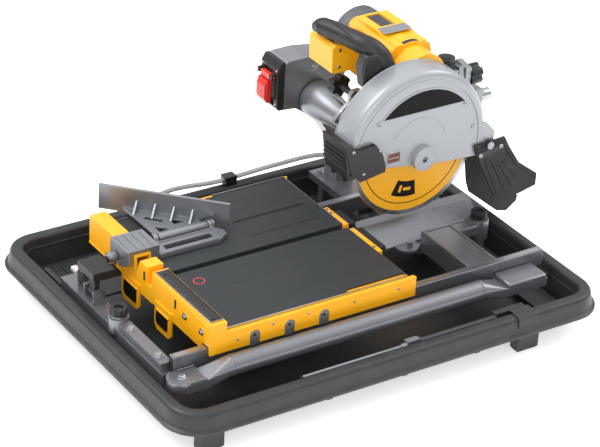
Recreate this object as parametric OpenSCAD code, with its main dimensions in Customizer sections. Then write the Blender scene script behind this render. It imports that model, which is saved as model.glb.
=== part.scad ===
// Wet tile saw: a sliding cart on rails over a water pan, with a cantilevered head that
// plunges about a cross shaft and bevels about a line at table level.
// Origin: centre of the pan on the floor. +X to the operator's right, +Y away, +Z up.

/* [Pan] */
// Overall width of the pan across its lip
pan_w = 672; // [660:1:690]
// Overall length of the pan across its lip
pan_l = 866; // [860:1:900]
// Outer corner radius of the lip
pan_corner_r = 65; // [60:1:80]

/* [Frame] */
// Height of the running face of the rails
rail_top = 118; // [117:0.5:118]
// Wall thickness of the rail tubes
rail_wall = 2.5; // [2:0.1:4]
// Outer radius of the round side tube
tube_r = 17.5; // [15:0.5:17.5]

/* [Cart] */
// Thickness of the rubber table mats
mat_t = 3.5; // [2:0.1:3.5]
// Length of the left block of the fence
fence_far_l = 198; // [190:1:198]
// Radius of the cart rollers
roller_r = 9.5; // [8:0.1:9.5]

/* [Head] */
// Radius of the diamond blade
blade_r = 127; // [120:1:127]
// Thickness of the blade core
blade_t = 2.4; // [1.6:0.1:2.8]
// Outer radius of the blade guard
guard_r = 148; // [146:0.5:149]
// Radius of the motor housing
motor_r = 50; // [50:0.5:51]
// Radius of the handle grip
grip_r = 17; // [14:0.5:18]

/* [Hose] */
// Outer radius of the clear water hose
hose_r = 4.5; // [3.5:0.1:4.5]

/* [Hidden] */
$fn = 64;
eps = 0.01;

// Frame and cart levels
pan_floor_z = 27;
rail_bottom = 88;
rail_w = 15;
rail_half_l = 376;
right_rail_x = 200;
left_rail_x = -113;
plate_z = 139;
plate_t = 4;
mat_top = plate_z + plate_t + mat_t;
fence_front_y = -312;
fence_back_y = -281;
fence_top = 165;
slot_x0 = 6;
slot_x1 = 22;
near_wall_x = 209;
far_wall_x = -190;
roller_y = [-240, 40];
wall_slot_y = [-226, -158, -90];

// Places of the head
pivot_y = 172;
pivot_z = 268;
pivot_r = 12;
column_x = -235;
blade_x = 16;
blade_y = 217;
blade_z = 267;
guard_y = 205;
guard_z = 283;
motor_y = 246;
motor_z = 390;
motor_x0 = -232;
bevel_z = 146;
quad_r = 223.3;
flap_pin_y = 358;
flap_pin_z = 258;
lock_y = 148;
lock_z = 346.4;
rod_x = -85;
rod_z = 158;

// A box given by its two corners
module span(a, b) {
    translate(a) cube([b[0] - a[0], b[1] - a[1], b[2] - a[2]]);
}
// A bar along X between two places
module bar_x(x0, x1, y, z, r) {
    translate([x0, y, z]) rotate([0, 90, 0]) cylinder(r = r, h = x1 - x0);
}
// A bar along Y between two places
module bar_y(y0, y1, x, z, r) {
    translate([x, y0, z]) rotate([-90, 0, 0]) cylinder(r = r, h = y1 - y0);
}
// A plate in the YZ plane, extruded along X
module yz_plate(x0, x1, pts) {
    translate([x0, 0, 0]) rotate([90, 0, 90]) linear_extrude(x1 - x0) polygon(pts);
}
// A plate in the XZ plane, extruded along Y
module xz_plate(y0, y1, pts) {
    translate([0, y1, 0]) rotate([90, 0, 0]) linear_extrude(y1 - y0) polygon(pts);
}
function arc_pts(cx, cy, r, a0, a1, n) =
    [for (i = [0 : n]) let(a = a0 + (a1 - a0) * i / n) [cx + r * cos(a), cy + r * sin(a)]];
// A ring sector about a centre, as an outline
function sector_pts(cx, cy, r0, r1, a0, a1, n) =
    concat(arc_pts(cx, cy, r1, a0, a1, n), arc_pts(cx, cy, r0, a1, a0, n));

// ---- Pan ----
// Section of the rim and basin wall: distance in from the lip, height
rim_section = concat([[0, 45], [0, 49], [5, 51]], arc_pts(18, 71, 9, 170, 90, 5),
    arc_pts(26, 72, 8, 90, 15, 5), [[48, 27], [52, 27], [52, 24], [45, 24]],
    arc_pts(26, 71, 6, 10, 90, 4), arc_pts(18, 70, 7, 90, 170, 4), [[8, 50], [3, 45]]);
module rim_side(len) {
    rotate([90, 0, 0]) linear_extrude(len, center = true)
        polygon([for (p = rim_section) [pan_corner_r - p[0], p[1]]]);
}
module rim_corner() {
    rotate_extrude(angle = 90) polygon([for (p = rim_section) [pan_corner_r - p[0], p[1]]]);
}
module pan_rim() {
    cx = pan_w / 2 - pan_corner_r;
    cy = pan_l / 2 - pan_corner_r;
    for (s = [0, 1]) rotate([0, 0, 180 * s]) {
        translate([cx, 0, 0]) rim_side(2 * cy);
        translate([0, cy, 0]) rotate([0, 0, 90]) rim_side(2 * cx);
        translate([cx, cy, 0]) rim_corner();
        translate([-cx, cy, 0]) rotate([0, 0, 90]) rim_corner();
    }
}
foot_x = 305;
foot_y = [-364, 272];
module water_pan() {
    color([0.26, 0.27, 0.28]) difference() {
        union() {
            pan_rim();
            span([-285, -382, 24], [285, 382, pan_floor_z]);
            span([-285, 330, 26], [285, 380, 38]);
            span([-230, -384, 26], [-150, -376, 60]);
            for (sx = [-1, 1], y = foot_y)
                translate([sx * foot_x - 11, y - 22, 3]) cube([22, 44, 41]);
            for (y = [-178, -60]) span([288, y - 4, 60], [303, y + 4, 69]);
            span([286, 225, 52], [300, 255, 62]);
            for (y = [-150, 0, 150]) span([314, y - 5, 40], [332, y + 5, 47]);
            span([-24, -34, 3], [24, 34, 25]);
        }
        translate([-245, 352, 20]) cylinder(r = 10, h = 30);
    }
}
module foot_pads() {
    color([0.1, 0.1, 0.1]) {
        for (sx = [-1, 1], y = foot_y) translate([sx * foot_x - 9, y - 20, 0]) cube([18, 40, 3]);
        span([-20, -30, 0], [20, 30, 3]);
    }
}
module drain_plug() {
    color([0.12, 0.12, 0.12]) translate([-245, 352, 0]) {
        translate([0, 0, 18]) cylinder(r = 10, h = 20);
        translate([0, 0, 38]) cylinder(r = 15, h = 4);
    }
}
// Storage rod along the near basin wall, with its fitting and sleeve
tray_rod_x = 295;
tray_rod_z = 72;
module tray_rod() {
    color([0.7, 0.7, 0.72]) bar_y(-182, 15, tray_rod_x, tray_rod_z, 3);
    color([0.5, 0.51, 0.53]) {
        bar_y(14, 25, tray_rod_x, tray_rod_z, 5);
        span([tray_rod_x - 7, 24, tray_rod_z - 7], [tray_rod_x + 4.5, 50, tray_rod_z + 8]);
    }
}
module rod_sleeve() {
    color([0.12, 0.12, 0.13]) {
        bar_y(50, 55, tray_rod_x, tray_rod_z, 6.9);
        bar_y(55, 210, tray_rod_x, tray_rod_z, 6.2);
        span([tray_rod_x - 9, 209, 62], [tray_rod_x + 3, 272, tray_rod_z + 9]);
    }
}

// ---- Frame ----
post_near = [[50, 350], [36, -383]];
post_r = 14;
leg_y = -375.5;
leg_r = 8.5;
module front_crossmember() {
    color([0.5, 0.51, 0.53]) difference() {
        union() {
            span([-150, -394, 64], [203, -362, rail_bottom]);
            span([52, -392, rail_bottom], [192.5, -370, 103]);
            translate([post_near[1][0], post_near[1][1], 81]) cylinder(r = 18, h = 27);
        }
        translate([post_near[1][0], post_near[1][1], 84]) cylinder(r = post_r, h = 40);
        span([-146, -390, 60], [14, -366, 84]);
        span([58, -390, 60], [199, -366, 84]);
    }
}
module rear_crossmember() {
    color([0.5, 0.51, 0.53]) difference() {
        union() {
            span([-121, 228, 62], [43, 291, rail_bottom - 8]);
            span([43, 228, 72], [192.5, 291, 110]);
            span([36, 291, 92], [74, 340, 108]);
            span([-121, 291, 72], [36, 365, 80]);
            translate([50, 350, 72]) cylinder(r = 19, h = 38);
            span([-120.5, 228, 79], [-105.5, 291, rail_bottom]);
            span([-120.5, 335, 79], [-105.5, 365, rail_bottom]);
        }
        translate([50, 350, 50]) cylinder(r = post_r, h = 80);
        span([60, 234, 60], [176, 285, 104]);
        span([-100, 234, 50], [30, 285, 74]);
    }
}
module rail(x) {
    color([0.52, 0.53, 0.55]) translate([x - rail_w / 2, -rail_half_l, rail_bottom]) {
        h = rail_top - rail_bottom;
        l = 2 * rail_half_l;
        difference() {
            cube([rail_w, l, h]);
            translate([rail_wall, 6, rail_wall]) cube([rail_w - 2 * rail_wall, l - 12, h - 2 * rail_wall]);
        }
    }
}
module right_rail() { rail(right_rail_x); }
module left_rail() { rail(left_rail_x); }
module center_beam() {
    color([0.52, 0.53, 0.55]) {
        xz_plate(108, 372, [[-30, 118], [-8, 118], [28, 84], [28, 80], [-30, 80], [-30, 84], [16, 84],
            [-10, 112], [-30, 112]]);
        span([-30, 108, 83], [-26, 372, 113]);
        translate([36, 204, 80]) cylinder(r = 22, h = 5);
        translate([42, 206, 84]) cylinder(r = 5, h = 11);
    }
}
module frame_posts() {
    color([0.4, 0.41, 0.43]) {
        // rear: two posts on the ledge of the pan
        translate([post_near[0][0], post_near[0][1], 38]) cylinder(r = post_r, h = 74);
        translate([left_rail_x, post_near[0][1], 38]) cylinder(r = post_r, h = 34);
        // front: the capped stub and two slim legs on the floor of the pan
        translate([post_near[1][0], post_near[1][1], 84]) cylinder(r = post_r, h = 28);
        translate([post_near[1][0], leg_y, pan_floor_z]) cylinder(r = leg_r, h = 64 - pan_floor_z);
        translate([left_rail_x, leg_y, pan_floor_z]) cylinder(r = leg_r, h = 84 - pan_floor_z);
    }
}
module post_caps() {
    color([0.2, 0.2, 0.21]) for (p = post_near) translate([p[0], p[1], 112]) difference() {
        cylinder(r = 15, h = 13);
        for (a = [0 : 45 : 315]) rotate([0, 0, a]) translate([16, 0, 2]) cylinder(r = 3, h = 12);
        translate([0, 0, 8]) cylinder(r = 8, h = 6);
    }
}
tube_x = 240;
tube_z = 97;
tube_y0 = -290;
tube_y1 = 215;
module side_tube() {
    color([0.5, 0.51, 0.53]) difference() {
        bar_y(tube_y0, tube_y1, tube_x, tube_z, tube_r);
        bar_y(tube_y0 - 1, tube_y1 + 1, tube_x, tube_z, tube_r - 2);
    }
}
// End shoe: plugs the tube, flattens and bolts under the rail. Drawn for the rear end.
module tube_shoe(pad_l, tongue_l, round_end) {
    translate([0, -18, 0]) rotate([-90, 0, 0]) cylinder(r = tube_r - 2, h = 18 + 2 * eps);
    hull() {
        rotate([-90, 0, 0]) cylinder(r = tube_r, h = 1, $fn = 32);
        translate([-22, 48, -19]) cube([39, 2, 16]);
    }
    difference() {
        union() {
            translate([-32, 48, -19]) cube([49, pad_l - 48 - (round_end ? 22 : 0), 16]);
            if (round_end) translate([-10, pad_l - 27, -19]) cylinder(r = 26, h = 16);
            translate([-47, 48, -21]) cube([30, tongue_l, 12]);
        }
        translate([-60, 0, -9]) cube([27.5, 200, 20]);
    }
}
module tube_shoes() {
    color([0.48, 0.49, 0.51]) {
        translate([tube_x, tube_y1, tube_z]) tube_shoe(135, 70, false);
        translate([tube_x, tube_y0, tube_z]) mirror([0, 1, 0]) tube_shoe(110, 22, true);
    }
}
module lock_bracket() {
    color([0.5, 0.51, 0.53]) {
        span([-81, -391, rail_bottom], [-39, -364, rail_bottom + 4]);
        for (x = [-79, -47]) span([x, -388, rail_bottom + 1], [x + 6, -366, 112]);
        bar_x(-81, -39, -377, 103, 3);
    }
}
module rail_lock_lever() {
    color([0.13, 0.13, 0.14]) difference() {
        union() {
            bar_x(-72.5, -47.5, -377, 103, 8);
            span([-70, -382, 108], [-50, -372, 134]);
            span([-100, -388, 132], [-44, -346, 146]);
        }
        bar_x(-74, -46, -377, 103, 3.05);
    }
}

// ---- Column and switch ----
module column_foot() {
    color([0.45, 0.46, 0.48]) {
        span([-290, 205, 66], [-121, 287, 80]);
        span([-129, 205, 79], [-121, 227, 116]);
        for (y = [222, 270]) translate([-262, y, pan_floor_z]) cylinder(r = 10, h = 40);
    }
}
// Casting: a slim post that leans forward into the box behind the switch
module column() {
    color([0.5, 0.51, 0.53]) difference() {
        union() {
            yz_plate(column_x - 58, column_x, [[105, 256], [105, 346], [111, 351], [150, 352], [238, 340],
                [246, 322], [226, 286], [200, 240], [163, 232], [130, 254]]);
            yz_plate(column_x - 40, column_x, [[150, 300], [176, 308], [216, 248], [257, 194], [266, 134],
                [269, 80], [230, 80], [229, 150], [212, 178], [203, 190], [190, 211], [163, 232]]);
            bar_x(column_x - 52, column_x, pivot_y, pivot_z, 36);
        }
        span([column_x - 50, 104, 265], [column_x - 8, 136, 340]);
        bar_x(column_x - 60, column_x + 1, pivot_y, pivot_z, pivot_r);
        bar_x(column_x - 41, column_x - 27, hose_end_y, hose_end_z, 3.4);
    }
}
// Switch cover on the front of the box, with a recess for the paddle
sw_x = column_x - 58;
sw_y = 105;
module switch_box() {
    color([0.13, 0.13, 0.14]) difference() {
        union() {
            yz_plate(sw_x, column_x, [[sw_y - 15, 262], [sw_y - 15, 338], [sw_y - 8, 351], [sw_y, 351],
                [sw_y, 256], [sw_y - 10, 256]]);
            span([sw_x + 9, sw_y, 268], [column_x - 9, sw_y + 28, 337]);
            for (x = [sw_x + 7, column_x - 8]) span([x - 3, sw_y - 26, 318], [x + 3, sw_y - 15, 328]);
        }
        span([sw_x + 11, sw_y - 16, 264], [column_x - 12, sw_y - 5, 329]);
        bar_x(sw_x + 3, column_x - 4, sw_y - 21, 323, 2);
    }
}
module switch_paddle() {
    color([0.85, 0.22, 0.2]) {
        bar_x(sw_x + 3, column_x - 4, sw_y - 21, 323, 1.95);
        span([sw_x + 15, sw_y - 25, 316], [column_x - 15, sw_y - 17, 327]);
        hull() {
            span([sw_x + 13, sw_y - 28, 270], [column_x - 13.5, sw_y - 20, 314]);
            span([sw_x + 16, sw_y - 33, 278], [column_x - 16, sw_y - 28, 304]);
        }
    }
}
// Fixed cross shaft with the slotted quadrant that the plunge lock clamps
lock_r = norm([lock_y - pivot_y, lock_z - pivot_z]);
lock_a = atan2(lock_z - pivot_z, lock_y - pivot_y);
module pivot_shaft() {
    color([0.6, 0.61, 0.63]) {
        bar_x(column_x - 58, -56, pivot_y, pivot_z, pivot_r);
        difference() {
            union() {
                yz_plate(-64, -56, sector_pts(pivot_y, pivot_z, lock_r - 9.5, lock_r + 9.5, lock_a - 12,
                    lock_a + 42, 16));
                yz_plate(-64, -56, sector_pts(pivot_y, pivot_z, 8, lock_r - 9, lock_a + 12, lock_a + 38, 8));
            }
            yz_plate(-65, -55, sector_pts(pivot_y, pivot_z, lock_r - 6.4, lock_r + 6.4, lock_a - 6,
                lock_a + 36, 12));
        }
    }
}

// ---- Water supply ----
module water_pump() {
    color([0.12, 0.12, 0.13]) {
        span([-282, -215, pan_floor_z], [-236, -155, 66]);
        translate([-259, -190, 66]) cylinder(r = 18, h = 6);
        translate([-262, -175, 66]) cylinder(r = 3.4, h = 18);
    }
}
hose_end_y = 249;
hose_end_z = 104;
hose_route = [[-262, -175, 74], [-263, -172, 92], [-268, -160, 106], [-278, -138, 114], [-290, -110, 113],
    [-304, -78, 106], [-314, -44, 98], [-318, -10, 92], [-318, 20, 90], [-318, 46, 90], [-318, 72, 91],
    [-317, 100, 93], [-314, 128, 96], [-310, 156, 99], [-306, 184, 102], [-302, 212, 104], [-295, 238, 104],
    [-278, 249, 104]];
module hose_clip() {
    color([0.1, 0.1, 0.1]) difference() {
        span([-328, 34, 80], [-308, 58, 98]);
        bar_y(33, 59, -318, 90, hose_r + 0.4);
    }
}
module hose_barb() {
    color([0.15, 0.15, 0.16]) bar_x(column_x - 44, column_x - 27, hose_end_y, hose_end_z, 3.4);
}
// Tangent frame sweep of a round section along the route
function unit(v) = v / norm(v);
function tangent(p, i) = unit(p[min(i + 1, len(p) - 1)] - p[max(i - 1, 0)]);
function bez(p, i, t) = let(a = p[i], d = p[i + 1], m = norm(d - a) / 3,
        b = a + m * tangent(p, i), c = d - m * tangent(p, i + 1))
    pow(1 - t, 3) * a + 3 * t * pow(1 - t, 2) * b + 3 * t * t * (1 - t) * c + pow(t, 3) * d;
function smooth(p, n) = concat([for (i = [0 : len(p) - 2], k = [0 : n - 1]) bez(p, i, k / n)],
    [p[len(p) - 1]]);
function flat_side(p) = [for (i = [0 : len(p) - 1]) let(t = tangent(p, i), s = unit(cross(t, [0.35, -0.2, 0.9])))
    [s, cross(s, t)]];
module sweep(p, r, sides) {
    f = flat_side(p);
    n = len(p);
    pts = [for (i = [0 : n - 1], k = [0 : sides - 1]) let(a = 360 * k / sides)
        p[i] + r * cos(a) * f[i][0] + r * sin(a) * f[i][1]];
    faces = concat([[for (k = [0 : sides - 1]) sides - 1 - k]],
        [for (i = [0 : n - 2], k = [0 : sides - 1]) [i * sides + k, i * sides + (k + 1) % sides,
            (i + 1) * sides + (k + 1) % sides, (i + 1) * sides + k]],
        [[for (k = [0 : sides - 1]) (n - 1) * sides + k]]);
    polyhedron(pts, faces);
}
module water_hose() {
    color([0.85, 0.87, 0.88]) sweep(smooth(hose_route, 2), hose_r, 10);
}

// ---- Cart ----
module tab(x0, x1, z0) {
    c = 8;
    xz_plate(fence_front_y - 3, fence_front_y + 1, [[x0, z0 + c], [x0 + c, z0], [x1 - c, z0], [x1, z0 + c],
        [x1, 119], [x0, 119]]);
}
module cart_body() {
    color([0.98, 0.74, 0.15]) difference() {
        union() {
            // table plate with its blade trough
            span([far_wall_x, fence_back_y - 4, plate_z], [near_wall_x + 5, 82, plate_z + plate_t]);
            span([2, fence_front_y, 129], [26, 82, plate_z + 1]);
            // left block of the fence up to the stop beside the blade slot
            difference() {
                span([-fence_far_l, fence_front_y, 111], [24, fence_back_y, fence_top]);
                span([-fence_far_l + 4, fence_front_y + 4, 100], [0, fence_back_y - 4, fence_top - 4]);
            }
            // right ledge of the fence on its own front and back walls
            span([22, fence_front_y, 106], [near_wall_x + 5, fence_front_y + 4, fence_top - 2]);
            span([22, fence_front_y + 3, fence_top - 6], [near_wall_x + 5, fence_back_y, fence_top - 2]);
            span([22, fence_back_y - 4, plate_z], [near_wall_x + 5, fence_back_y, fence_top - 2]);
            // side walls
            span([near_wall_x, fence_front_y, 106], [near_wall_x + 5, fence_back_y, fence_top - 2]);
            span([near_wall_x, fence_back_y - 2, 106], [near_wall_x + 5, 96, plate_z + plate_t]);
            span([far_wall_x, fence_back_y - 2, 104], [far_wall_x + 4, 88, 146]);
            // rear ledges
            span([-62, 81, 133], [112, 95, 143]);
            span([206, 81, 120], [210, 95, 143]);
            // tabs below the front wall
            tab(-76, -16, 68);
            tab(38, 92, 68);
            span([-76, fence_front_y, 104], [24, fence_front_y + 4, 113]);
            // roller cheeks
            for (y = roller_y) {
                span([185, y - 9, 121], [190, y + 9, plate_z + 1]);
                span([-129, y - 9, 121], [-124, y + 9, plate_z + 1]);
                span([-102, y - 9, 121], [-97, y + 9, plate_z + 1]);
            }
        }
        // blade slot through plate, trough and fence
        span([slot_x0, fence_front_y - 4, 134], [slot_x1, 112, 180]);
        // sighting notch in the top of the fence
        xz_plate(fence_front_y - 4, fence_back_y + 1, [[-38, 170], [-33, 134], [-18, 170]]);
        // clearance over the rails and behind the front wall
        span([188, fence_front_y - 1, 90], [near_wall_x, fence_back_y - 2, 120.5]);
        span([-124, fence_front_y - 1, 90], [-102, fence_back_y - 2, 120.5]);
        span([-fence_far_l - 1, fence_front_y + 8, 90], [near_wall_x, fence_back_y + 1, 121]);
        // slots in the near wall
        for (y = wall_slot_y) {
            span([near_wall_x - 1, y - 10, 100], [near_wall_x + 6, y + 10, 122]);
            bar_x(near_wall_x - 1, near_wall_x + 6, y, 122, 10);
        }
        // axle bores
        for (y = roller_y) {
            bar_x(184, near_wall_x + 3, y, rail_top + roller_r + 0.05, 3);
            bar_x(-130, -96, y, rail_top + roller_r + 0.05, 3);
        }
    }
}
mat_y0 = fence_back_y + 0.4;
module table_mats() {
    color([0.25, 0.26, 0.27]) {
        difference() {
            span([-184, mat_y0, plate_z + plate_t], [slot_x0 + 1.5, 81, mat_top]);
            span([-90, -88, mat_top - 1.2], [-32, 60, mat_top + 1]);
        }
        span([slot_x1 - 1.5, mat_y0, plate_z + plate_t], [205, -38, mat_top]);
        span([slot_x1 - 1.5, -39, plate_z + plate_t], [196, 81, mat_top]);
        // lining of the blade slot
        span([slot_x0, mat_y0, 134], [slot_x1, 81, 135.2]);
        for (x = [slot_x0, slot_x1 - 1.5]) span([x, mat_y0, 134], [x + 1.5, 81, mat_top]);
    }
}
module table_trim() {
    color([0.75, 0.76, 0.78]) {
        span([205, mat_y0, plate_z + plate_t], [207, 81, mat_top + 0.5]);
        span([-184, 81, plate_z + plate_t], [5, 82, mat_top + 0.5]);
        span([23, 81, plate_z + plate_t], [207, 82, mat_top + 0.5]);
    }
}
module fence_strips() {
    color([0.15, 0.15, 0.16])
        span([27, fence_front_y + 5, fence_top - 2], [205, fence_back_y - 5, fence_top]);
    color([0.8, 0.8, 0.82]) {
        span([27, fence_back_y - 4.5, fence_top - 2], [205, fence_back_y - 2.5, fence_top + 0.6]);
        for (x = [37, 196]) translate([x, fence_front_y + 15, fence_top]) cylinder(r = 4, h = 1.2);
    }
}
module slot_inserts() {
    color([0.55, 0.56, 0.58]) for (y = wall_slot_y) difference() {
        union() {
            span([near_wall_x + 1, y - 9.9, 102], [near_wall_x + 4, y + 9.9, 122]);
            bar_x(near_wall_x + 1, near_wall_x + 4, y, 122, 9.9);
        }
        bar_x(near_wall_x, near_wall_x + 6, y, 121, 3);
    }
}
module tab_plates() {
    color([0.12, 0.12, 0.12]) {
        xz_plate(fence_front_y - 4.2, fence_front_y - 3, [[-68, 84], [-62, 79], [-28, 79], [-22, 84],
            [-22, 107], [-68, 107]]);
        xz_plate(fence_front_y - 4.2, fence_front_y - 3, [[44, 84], [50, 79], [78, 79], [84, 84],
            [84, 105], [44, 105]]);
    }
}
module rear_bumper() {
    color([0.1, 0.1, 0.1]) difference() {
        span([-46, 95, 126.5], [100, 111, 141]);
        span([slot_x0 - 1, 94, 134], [slot_x1 + 1, 112, 142]);
    }
}
module roller_axles() {
    color([0.6, 0.61, 0.63]) for (y = roller_y) {
        bar_x(185, near_wall_x + 3, y, rail_top + roller_r + 0.05, 3);
        bar_x(-129, -97, y, rail_top + roller_r + 0.05, 3);
    }
}
module roller(x, y) {
    color([0.65, 0.66, 0.68]) difference() {
        bar_x(x - 4, x + 4, y, rail_top + roller_r + 0.05, roller_r);
        bar_x(x - 5, x + 5, y, rail_top + roller_r + 0.05, 3.04);
    }
}
module roller_1() { roller(right_rail_x, roller_y[0]); }
module roller_2() { roller(right_rail_x, roller_y[1]); }
module roller_3() { roller(left_rail_x, roller_y[0]); }
module roller_4() { roller(left_rail_x, roller_y[1]); }

// ---- Edge guide ----
lug_y = [-250, -142];
screw_x = -80;
screw_z = 148;
module guide_clamp() {
    color([0.6, 0.61, 0.64]) difference() {
        union() {
            span([-102, -324, fence_top + 0.4], [-40, -268, 173]);
            xz_plate(-324, fence_front_y - 0.4, [[-102, 173], [-102, 142], [-94, 134], [-66, 134],
                [-40, 146], [-40, 173]]);
            span([-102, fence_back_y + 0.4, mat_top + 0.5], [-40, -262, 173]);
            // arm along the mat with a rounded far end
            translate([0, 0, mat_top + 0.5]) linear_extrude(8.5)
                polygon([[-76, -263], [-76, -132], [-60, -122], [-48, -124], [-36, -142], [-36, -263]]);
            for (y = lug_y) {
                span([rod_x - 6, y, mat_top + 0.5], [-74, y + 8, rod_z]);
                bar_y(y, y + 8, rod_x, rod_z, 8);
            }
        }
        span([-62, -244, 140], [-48, -150, 160]);
        for (y = lug_y) bar_y(y - 1, y + 9, rod_x, rod_z, 4);
        bar_y(-326, -306, screw_x, screw_z, 4);
    }
}
module guide_knob() {
    color([0.62, 0.63, 0.66]) {
        bar_y(-327, fence_front_y - 0.6, screw_x, screw_z, 3.95);
        bar_y(-341, -326, screw_x, screw_z, 9);
    }
}
module guide_rod() {
    color([0.7, 0.71, 0.73]) bar_y(-251, -133, rod_x, rod_z, 4);
}
// Angle plate: a 45 degree face on a pierced web, hinged on the guide rod
module angle_plate() {
    color([0.6, 0.61, 0.64]) difference() {
        union() {
            bar_y(-240, -144, rod_x, rod_z, 7.5);
            translate([0, 0, rod_z - 6]) linear_extrude(5) difference() {
                polygon([[rod_x - 4, -240], [rod_x - 4, -144], [-130, -144], [-219, -240]]);
                polygon([[-103, -226], [-103, -204], [-123, -226]]);
                polygon([[-135, -190], [-115, -168], [-115, -190]]);
                polygon([[-161, -222], [-137, -200], [-131, -206], [-155, -228]]);
            }
            translate([-243.6, -269, mat_top + 0.6]) rotate([0, 0, 44.2]) translate([0, -3, 0])
                cube([238, 6, 48]);
        }
        bar_y(-241, -143, rod_x, rod_z, 4.05);
        // relief over the end of the rod
        span([-93, -132, 140], [-60, -90, 153]);
    }
}

// ---- Plunge arm ----
module plunge_arm() {
    color([0.2, 0.2, 0.21]) difference() {
        union() {
            bar_x(column_x + 0.5, -66, pivot_y, pivot_z, 22);
            yz_plate(-120, -66, [[160, 254], [160, 288], [214, 326], [324, 326], [324, 276], [226, 276],
                [192, 256]]);
            // bridge that passes inside the radius of the bevel quadrant
            xz_plate(323, 339, [[-120, 276], [-30, 276], [-30, 330], [-66, 328], [-100, 310], [-120, 296]]);
            // upright behind the motor that carries the bevel quadrant
            xz_plate(338, 350, [[-120, 292], [-14, 292], [-9, 304], [-9, 386], [-40, 392], [-70, 350],
                [-120, 326]]);
            span([-44, 349, 294], [-14, 384, 334]);
            // lug for the plunge lock
            yz_plate(-78, -68, [[136, 336], [134, 352], [140, 360], [156, 360], [162, 352], [162, 338],
                [186, 284], [158, 284]]);
        }
        bar_x(column_x - 1, -60, pivot_y, pivot_z, pivot_r + 0.04);
        bar_x(-80, -66, lock_y, lock_z, 6.05);
        bar_y(336, 352, -22, 366, 5.05);
        bar_y(336, 386, -29, 314, 5.05);
    }
}
module plunge_lock_knob() {
    color([0.12, 0.12, 0.13]) {
        bar_x(-136, -54, lock_y, lock_z, 6);
        difference() {
            bar_x(-134, -118, lock_y, lock_z, 20);
            for (a = [0 : 60 : 300]) translate([-135, lock_y + 23 * cos(a), lock_z + 23 * sin(a)])
                rotate([0, 90, 0]) cylinder(r = 8, h = 18);
        }
    }
}
module bevel_lock_knob() {
    color([0.12, 0.12, 0.13]) {
        bar_y(327.5, 352, -22, 366, 5);
        difference() {
            bar_y(351, 374, -22, 366, 19);
            for (a = [0 : 72 : 288]) translate([-22 + 22 * cos(a), 350, 366 + 22 * sin(a)])
                rotate([-90, 0, 0]) cylinder(r = 7, h = 26);
        }
    }
}
module bevel_stop_pin() {
    color([0.6, 0.61, 0.63]) {
        bar_y(338.5, 392, -29, 314, 5);
        bar_y(385, 408, -29, 314, 11);
    }
}

// ---- Bevelling head ----
module motor_housing() {
    color([0.98, 0.74, 0.15]) difference() {
        union() {
            bar_x(-188, -52, motor_y, motor_z, motor_r);
            yz_plate(-188, -52, [[199, 396], [205, 430], [214, 438], [274, 438], [286, 430], [292, 404]]);
            xz_plate(212, 278, [[-184, 434], [-178, 444], [-112, 444], [-88, 438], [-54, 438], [-54, 434]]);
        }
        bar_x(-189, -56, motor_y, motor_z, motor_r - 4);
        bar_x(-57, -51, motor_y, motor_z, 11);
        span([-172, 228, 440], [-122, 258, 446]);
    }
}
module motor_end_cap() {
    color([0.55, 0.56, 0.58]) difference() {
        union() {
            bar_x(motor_x0 + 10, -188, motor_y, motor_z, motor_r);
            bar_x(motor_x0, motor_x0 + 10, motor_y, motor_z, motor_r - 8);
        }
        bar_x(motor_x0 + 6, -187, motor_y, motor_z, motor_r - 4);
    }
    color([0.55, 0.56, 0.58]) difference() {
        bar_x(motor_x0 + 5.9, motor_x0 + 20, motor_y, motor_z, 16);
        bar_x(motor_x0 + 8, motor_x0 + 21, motor_y, motor_z, 11);
    }
}
module front_cover() {
    color([0.98, 0.74, 0.15])
        yz_plate(-172, -98, [[112, 388], [110, 434], [118, 440], [150, 440], [198, 430], [196, 396],
            [190, 386], [118, 386]]);
    color([0.12, 0.12, 0.13]) difference() {
        yz_plate(-186, -80, [[166, 386], [190, 386], [196, 395.5], [210, 395.5], [210, 364], [199, 358],
            [186, 361], [172, 366]]);
        bar_x(-190, -78, motor_y, motor_z, motor_r);
    }
}
module motor_rotor() {
    color([0.6, 0.5, 0.42]) {
        bar_x(motor_x0 + 10, -22, motor_y, motor_z, 5);
        bar_x(-166, -92, motor_y, motor_z, 22);
        bar_x(-192, -176, motor_y, motor_z, 13);
        bar_x(-82, -70, motor_y, motor_z, 34);
        bar_x(-40, -24, motor_y, motor_z, 17);
    }
}
module field_ring() {
    color([0.35, 0.3, 0.28]) {
        difference() {
            bar_x(-170, -88, motor_y, motor_z, motor_r - 4);
            bar_x(-171, -87, motor_y, motor_z, 24);
        }
        for (x = [motor_x0 + 8, -57]) difference() {
            bar_x(x, x + 8, motor_y, motor_z, 11);
            bar_x(x - 1, x + 9, motor_y, motor_z, 5.04);
        }
    }
}
// Block with the outline of a belt round the motor shaft and the spindle
case_a = atan2(motor_z - blade_z, motor_y - blade_y);
module case_block(x0, x1, ra, rb) {
    b = acos((ra - rb) / norm([motor_y - blade_y, motor_z - blade_z]));
    yz_plate(x0, x1, concat(arc_pts(motor_y, motor_z, ra, case_a - b, case_a + b, 24),
        arc_pts(blade_y, blade_z, rb, case_a + b, case_a - b + 360, 24)));
}
module belt_housing() {
    color([0.5, 0.51, 0.53]) difference() {
        union() {
            difference() {
                case_block(-52, -8, 44, 40);
                case_block(-48, -12, 40, 36);
            }
            // bearing seats of the spindle
            for (x = [-50, -14]) bar_x(x, x + 4, blade_y, blade_z, 18);
        }
        bar_x(-53, -47, motor_y, motor_z, 11);
        bar_x(-53, -7, blade_y, blade_z, 8.04);
    }
}
module belt_loop(grow) {
    hull() {
        translate([motor_y, motor_z]) circle(r = 17.4 + grow, $fn = 32);
        translate([blade_y, blade_z]) circle(r = 30.4 + grow, $fn = 32);
    }
}
module drive_belt() {
    color([0.1, 0.1, 0.1]) translate([-39, 0, 0]) rotate([90, 0, 90]) linear_extrude(14) difference() {
        belt_loop(2.2);
        belt_loop(0.3);
    }
}
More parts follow.
